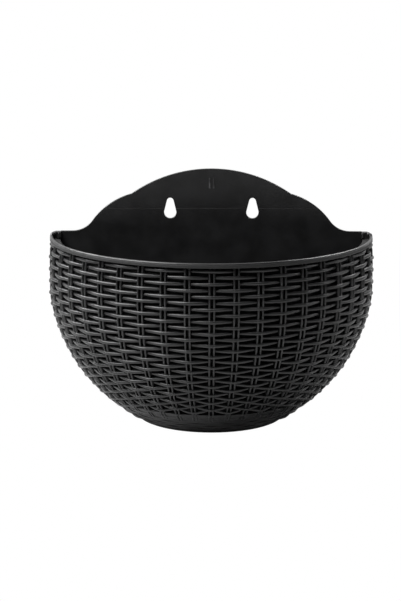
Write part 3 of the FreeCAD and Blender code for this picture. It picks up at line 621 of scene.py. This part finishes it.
def plate_side():
    """Right half of the plate's outline, from the middle of its lower edge to the top."""
    radius = WALL_INNER - CHANNEL_CLEAR
    arch = (0.0, PLATE_TOP - ARCH_RADIUS)
    notch = (NOTCH_SIDE, arch[1] + math.sqrt(ARCH_RADIUS ** 2 - NOTCH_SIDE ** 2))
    lobe = (notch[0] - LOBE_RADIUS * math.sin(LOBE_LEAN), notch[1] - LOBE_RADIUS * math.cos(LOBE_LEAN))
    aside, drop = FLAT_END - lobe[0], SHOULDER - lobe[1]
    sweep_radius = (aside ** 2 + drop ** 2 - LOBE_RADIUS ** 2) / (2 * (LOBE_RADIUS - drop))
    sweep = (FLAT_END, SHOULDER + sweep_radius)
    share = LOBE_RADIUS / (LOBE_RADIUS + sweep_radius)
    handover = (lobe[0] + (sweep[0] - lobe[0]) * share, lobe[1] + (sweep[1] - lobe[1]) * share)
    neck = (curve_reach(radius, BAND_LOW), BAND_LOW)

    half = [(0.0, PLATE_LOW)] + curve_side(radius, PLATE_LOW, BAND_LOW, 40)
    half += [(neck[0], SHOULDER - 0.05)]
    half += arc_between(sweep, (FLAT_END, SHOULDER), handover, 14)
    half += arc_between(lobe, handover, notch, 24)[1:]
    half += arc_between(arch, notch, (0.0, PLATE_TOP), 30)[1:]
    return half


def clipped(side, height):
    """The stretch of a rising outline below a height."""
    below = [point for point in side if point[1] < height]
    last, following = below[-1], side[len(below)]
    share = (height - last[1]) / (following[1] - last[1])
    return below + [(last[0] + (following[0] - last[0]) * share, height)]


def keyhole(side):
    """Teardrop, drawn clockwise because its material is outside: first its top, then its head."""
    high = (side * SCREW_SIDE, SCREW_HEIGHT - SHANK_DROP)
    low = (side * SCREW_SIDE, SCREW_HEIGHT - KEYHOLE_DROP)
    lean = math.degrees(math.asin((HEAD_RADIUS - SHANK_RADIUS) / (KEYHOLE_DROP - SHANK_DROP)))
    return arc(high, SHANK_RADIUS, 180 - lean, lean, 14), arc(low, HEAD_RADIUS, lean, -180 - lean, 26)


def plate_painted_shade(point):
    """Painted shade (1) along the step of the crease, and paler colour (-1) on the two streaks."""
    x, y, height = point
    if -y < PLATE_THICK - CREASE_STEP - 0.01:
        return 0.0
    # the two streaks are painted paler
    for middle, low, high in STREAKS:
        if abs(x - middle) < STREAK_HALF + 0.05 and low - 0.1 < height < high + 0.1:
            return -1.0
    # painted shade along the step of the crease
    return 1.0 if abs(height - CREASE) < 0.14 else 0.0


def add_streak(shape, middle, low, high, depth):
    """A faint pale rod, half sunk in the face of the plate."""
    count = 9
    rings = []
    for i, height in enumerate(np.linspace(low, high, count)):
        swell = STREAK_RISE * math.sin(math.pi * (i + 0.5) / count)
        flat = upright(SECTION * (STREAK_HALF, 0) + (middle, height), depth)
        rings.append(flat - SECTION[:, 1:] * (0, swell, 0))
    shape.skin(rings)


def build_plate(material):
    """The plate, its thicker lower part in front of it, and the streaks."""
    shape = Shape()
    side = plate_side()
    upper = PLATE_THICK - CREASE_STEP
    holes = [top + head for top, head in (keyhole(-1), keyhole(1))]
    shape.slab([mirrored_outline(side)] + holes, 0.0, upper, 0.25, upright)
    top, head = keyhole(1)
    flank = clipped([head[0], top[-1]], CREASE)[-1][0] - SCREW_SIDE
    lower = clipped(side, CREASE) + [(SCREW_SIDE + flank, CREASE)] + head
    lower += [(SCREW_SIDE - flank, CREASE), (0.0, CREASE)]
    shape.slab([mirrored_outline(lower)], upper - LOWER_LAP, PLATE_THICK, 0.12, upright)
    for middle, low, high in STREAKS:
        add_streak(shape, middle, low, high, upper - 0.1)
    return shape.piece("arched_back_plate", material, "planter", "back_plate", painted_shade=plate_painted_shade)


# ---- materials ---------------------------------------------------------------------------

SHADE_DARKEST, STREAK_PALEST = 0.3, 7                         # shares of the dark colour, reached under full painted shade, and of the light colour, on the pale streaks
CLOUDS, GLOSS_CLOUDS, GRAIN = 90, 60, 2600        # scales of the noise, per metre
GRAIN_HEIGHT = 0.00012
DULL = 0.95                                       # roughness deep in the recesses


def plastic(name, dark, light, gloss, grain, seed):
    """Moulded plastic: cloudy colour, uneven gloss and a fine moulded grain; painted shade darkens the
    colour and recesses are dull.
    """
    made = bpy.data.materials.new(name)
    made.use_nodes = True
    nodes, links = made.node_tree.nodes, made.node_tree.links
    shader = nodes["Principled BSDF"]
    place = nodes.new("ShaderNodeTexCoord")
    shift = nodes.new("ShaderNodeMapping")
    shift.inputs["Location"].default_value = (seed, seed * 0.7, seed * 1.3)
    links.new(place.outputs["Object"], shift.inputs["Vector"])

    def noise(scale, detail):
        node = nodes.new("ShaderNodeTexNoise")
        node.inputs["Scale"].default_value = scale
        node.inputs["Detail"].default_value = detail
        links.new(shift.outputs["Vector"], node.inputs["Vector"])
        return node.outputs["Fac"]

    def ranged(value, low, high, start=0.3, end=0.7):
        node = nodes.new("ShaderNodeMapRange")
        node.inputs["From Min"].default_value = start
        node.inputs["From Max"].default_value = end
        node.inputs["To Min"].default_value = low
        node.inputs["To Max"].default_value = high
        links.new(value, node.inputs["Value"])
        return node.outputs["Result"]

    def times(one, other):
        node = nodes.new("ShaderNodeMath")
        node.operation = "MULTIPLY"
        links.new(one, node.inputs[0])
        links.new(other, node.inputs[1])
        return node.outputs["Value"]

    # painted shade from the mesh's attribute: 1 darkens the colour and dulls it, -1 makes the pale streaks
    # lighter
    painted_shade = nodes.new("ShaderNodeAttribute")
    painted_shade.attribute_name = "painted_shade"
    unshaded_share = ranged(painted_shade.outputs["Fac"], 2.0, 0.0, -1.0, 1.0)
    colour = nodes.new("ShaderNodeValToRGB")
    stops = colour.color_ramp.elements
    stops[0].color = (*(part * SHADE_DARKEST for part in dark), 1)
    stops[1].position, stops[1].color = 0.35, (*dark, 1)
    for position, strength in ((0.65, 1), (0.8, 1), (1.0, STREAK_PALEST)):
        stops.new(position).color = (*(part * strength for part in light), 1)
    links.new(times(noise(CLOUDS, 5), unshaded_share), colour.inputs["Fac"])
    links.new(colour.outputs["Color"], shader.inputs["Base Color"])
    rougher = nodes.new("ShaderNodeMath")
    rougher.operation = "MAXIMUM"
    links.new(ranged(noise(GLOSS_CLOUDS, 4), *gloss), rougher.inputs[0])
    links.new(ranged(painted_shade.outputs["Fac"], 0.0, DULL, 0.0, 1.0), rougher.inputs[1])
    links.new(rougher.outputs["Value"], shader.inputs["Roughness"])
    bump = nodes.new("ShaderNodeBump")
    bump.inputs["Strength"].default_value = grain
    bump.inputs["Distance"].default_value = GRAIN_HEIGHT
    links.new(noise(GRAIN, 2), bump.inputs["Height"])
    links.new(bump.outputs["Normal"], shader.inputs["Normal"])
    return made


black = plastic("black_plastic", (0.005, 0.005, 0.0052), (0.010, 0.010, 0.0105), (0.3, 0.4), 0.3, 1.0)
grid_black = plastic("grid_plastic", (0.010, 0.010, 0.0105), (0.020, 0.020, 0.021), (0.5, 0.62), 0.4, 5.0)
rubber = plastic("plug_rubber", (0.008, 0.008, 0.008), (0.018, 0.0175, 0.0175), (0.68, 0.82), 0.5, 9.0)

bowl = build_bowl(black)
plate = build_plate(black)
for node, material in (("soil_grid", grid_black), ("drain_plug", rubber)):
    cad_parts[node].data.materials.clear()
    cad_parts[node].data.materials.append(material)


# ---- studio --------------------------------------------------------------------------------

FLOOR_GREY = 0.5
WORLD_DIM = 0.035
FLOOR_SHEEN = 0.04                                # share of the white that reflections see


def seen_share(nodes, links, glossy):
    """Share of a pale background: all of it for the camera, and this part for reflections."""
    path = nodes.new("ShaderNodeLightPath")
    share = path.outputs["Is Camera Ray"]
    for ray, part in (("Is Transmission Ray", 1.0), ("Is Glossy Ray", glossy)):
        scaled, both = nodes.new("ShaderNodeMath"), nodes.new("ShaderNodeMath")
        scaled.operation, both.operation = "MULTIPLY", "MAXIMUM"
        scaled.inputs[1].default_value = part
        links.new(path.outputs[ray], scaled.inputs[0])
        links.new(share, both.inputs[0])
        links.new(scaled.outputs["Value"], both.inputs[1])
        share = both.outputs["Value"]
    return share


def stage_material(name, glossy):
    """Lit pale grey, which the camera sees as white, and reflections in part."""
    made = bpy.data.materials.new(name)
    made.use_nodes = True
    nodes, links = made.node_tree.nodes, made.node_tree.links
    nodes.clear()
    matte = nodes.new("ShaderNodeBsdfDiffuse")
    matte.inputs["Color"].default_value = (FLOOR_GREY, FLOOR_GREY, FLOOR_GREY, 1)
    glow = nodes.new("ShaderNodeEmission")
    glow.inputs["Strength"].default_value = 1.0
    mix = nodes.new("ShaderNodeMixShader")
    links.new(seen_share(nodes, links, glossy), mix.inputs["Fac"])
    links.new(matte.outputs["BSDF"], mix.inputs[1])
    links.new(glow.outputs["Emission"], mix.inputs[2])
    output = nodes.new("ShaderNodeOutputMaterial")
    links.new(mix.outputs["Shader"], output.inputs["Surface"])
    return made


def build_stage():
    """A floor, and behind it a backdrop that bends up from it."""
    floor, back, bend, height = BASE - 0.0005, 3.0, 1.0, 5.5
    bent = [(back + y, floor + bend + z) for y, z in arc((0, 0), bend, -90, 0, 12)]
    add_sheet("floor", [(-5.0, floor), (back, floor)], stage_material("white_floor", FLOOR_SHEEN))
    add_sheet("backdrop", bent + [(back + bend, floor + height)], stage_material("white_backdrop", 0.9))


def add_sheet(name, line, material):
    """A wide sheet through a line of points (y, z)."""
    width = 6.0
    points = [(side * width, y, z) for y, z in line for side in (-1, 1)]
    mesh = bpy.data.meshes.new(name)
    mesh.from_pydata(points, [], [(2 * i, 2 * i + 1, 2 * i + 3, 2 * i + 2) for i in range(len(line) - 1)])
    mesh.shade_smooth()
    mesh.materials.append(material)
    made = bpy.data.objects.new(name, mesh)
    bpy.context.scene.collection.objects.link(made)


def add_softbox(name, place, target, width, height, power):
    """A rectangular lamp that faces its target."""
    lamp = bpy.data.lights.new(name, "AREA")
    lamp.shape = "RECTANGLE"
    lamp.size, lamp.size_y, lamp.energy = width, height, power
    made = bpy.data.objects.new(name, lamp)
    made.location = place
    made.rotation_euler = (Vector(target) - Vector(place)).to_track_quat("-Z", "Y").to_euler()
    bpy.context.scene.collection.objects.link(made)


def build_world():
    """Dim all round, and white where the camera looks past the floor."""
    world = bpy.data.worlds.new("studio")
    bpy.context.scene.world = world
    world.use_nodes = True
    nodes, links = world.node_tree.nodes, world.node_tree.links
    nodes.clear()
    dim, white = nodes.new("ShaderNodeBackground"), nodes.new("ShaderNodeBackground")
    dim.inputs["Strength"].default_value = WORLD_DIM
    for shade in (dim, white):
        shade.inputs["Color"].default_value = (1, 1, 1, 1)
    mix = nodes.new("ShaderNodeMixShader")
    output = nodes.new("ShaderNodeOutputWorld")
    links.new(seen_share(nodes, links, FLOOR_SHEEN), mix.inputs["Fac"])
    links.new(dim.outputs["Background"], mix.inputs[1])
    links.new(white.outputs["Background"], mix.inputs[2])
    links.new(mix.outputs["Shader"], output.inputs["Surface"])


def build_studio():
    """Stage, a large key lamp on the left, weaker lamps round it, and the world."""
    build_stage()
    middle = (0.0, -0.05, -0.07)
    add_softbox("key_left", (-0.72, -0.35, 0.75), middle, 0.8, 0.8, 27)
    add_softbox("strip_right", (0.9, 0.0, 0.35), middle, 0.15, 0.8, 1.8)
    add_softbox("top", (0.0, -0.3, 0.95), middle, 0.7, 0.4, 3)
    add_softbox("edge_left", (-0.75, 0.35, 0.6), middle, 0.3, 0.3, 9)
    add_softbox("edge_right", (0.5, 0.55, 0.7), middle, 0.3, 0.3, 6)
    build_world()
    bpy.context.scene.view_settings.view_transform = "Standard"


def add_camera():
    """The photograph's view: long lens, a little above, with a trace of roll."""
    distance, pitch, roll = 1.3214, math.radians(11.84), math.radians(0.15)
    target = Vector((-0.0069, 0.0, BASE + 77.33 * MM))
    lens = bpy.data.cameras.new("camera")
    lens.sensor_width, lens.lens = 36.0, 120.3
    lens.clip_start, lens.clip_end = 0.05, 20.0
    made = bpy.data.objects.new("camera", lens)
    place = target + distance * Vector((0, -math.cos(pitch), math.sin(pitch)))
    turn = Matrix.Rotation(math.pi / 2 - pitch, 4, "X") @ Matrix.Rotation(roll, 4, "Z")
    made.matrix_world = Matrix.Translation(place) @ turn
    bpy.context.scene.collection.objects.link(made)
    bpy.context.scene.camera = made


build_studio()
add_camera()
